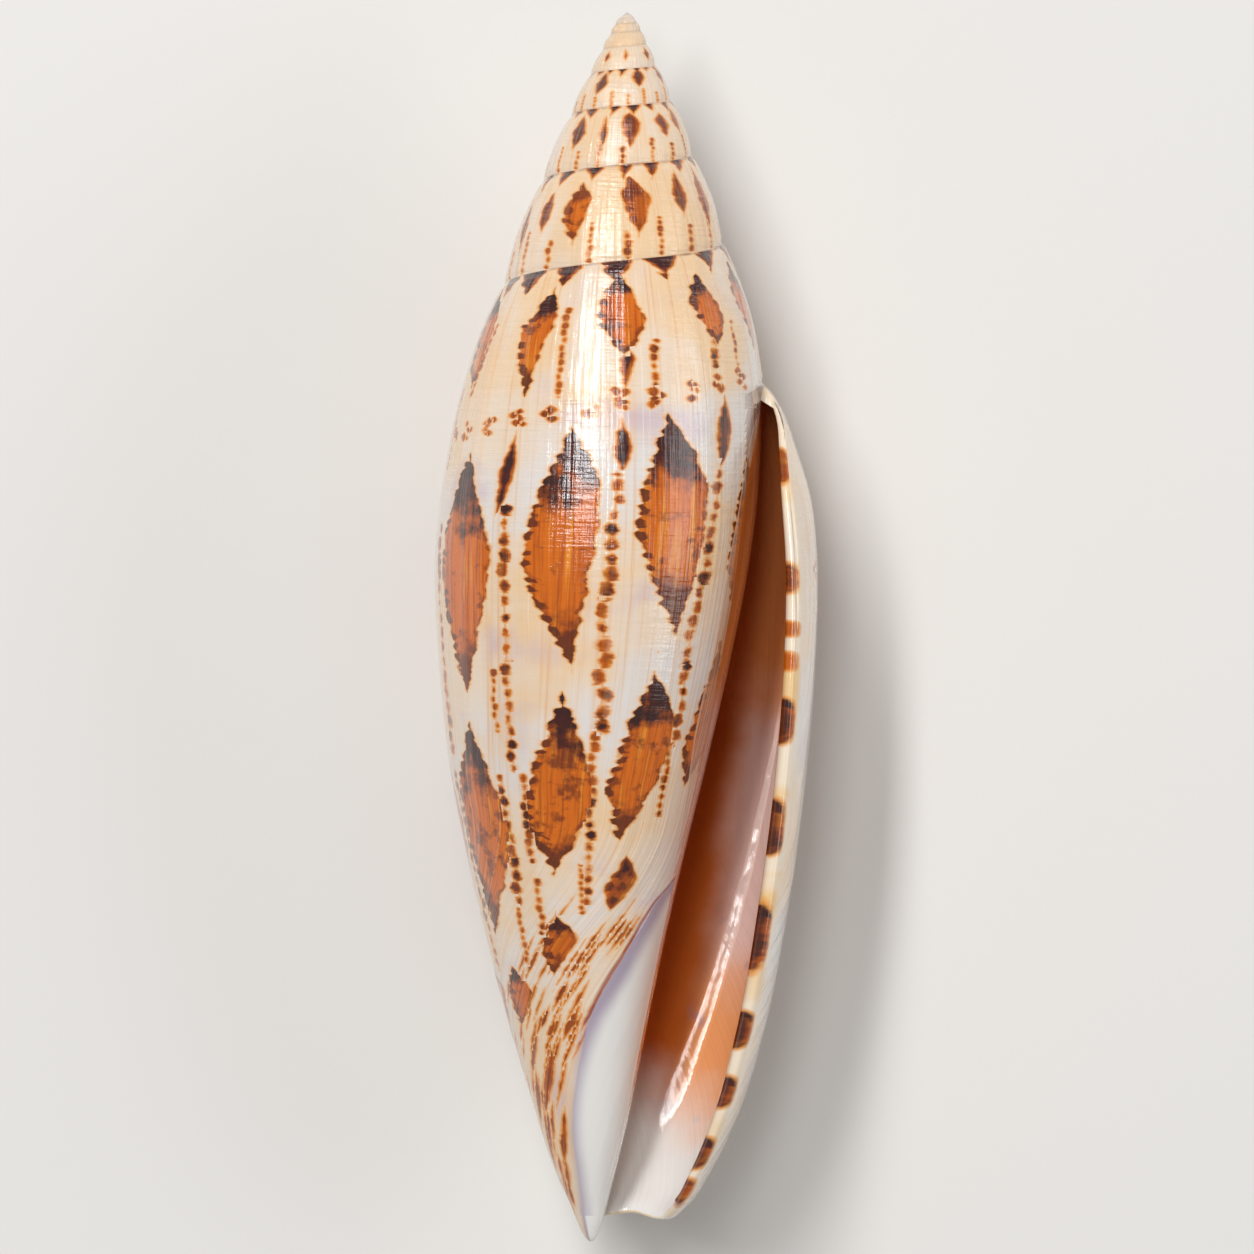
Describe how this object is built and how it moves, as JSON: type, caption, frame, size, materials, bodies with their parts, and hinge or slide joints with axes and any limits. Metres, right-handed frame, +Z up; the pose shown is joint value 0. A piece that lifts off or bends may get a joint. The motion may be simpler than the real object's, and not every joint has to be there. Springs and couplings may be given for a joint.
{
  "type": "mitre shell",
  "caption": "Slender spindle-shaped sea shell with a tapering coiled spire, lying on its back with its long narrow aperture up.",
  "frame": {"origin": "middle of the shell's footprint, in the plane of the small flat spot that it lies on", "axes": "+Y along the coiling axis towards the apex, +X towards the outer lip, +Z up, out of the aperture"},
  "size_m": [0.025, 0.08, 0.0227],
  "materials": {
    "shell": "glossy porcelain-like shell, cream with burnt-orange and dark brown spots"
  },
  "bodies": {
    "root": {"shell": "shell"}
  },
  "joints": []
}
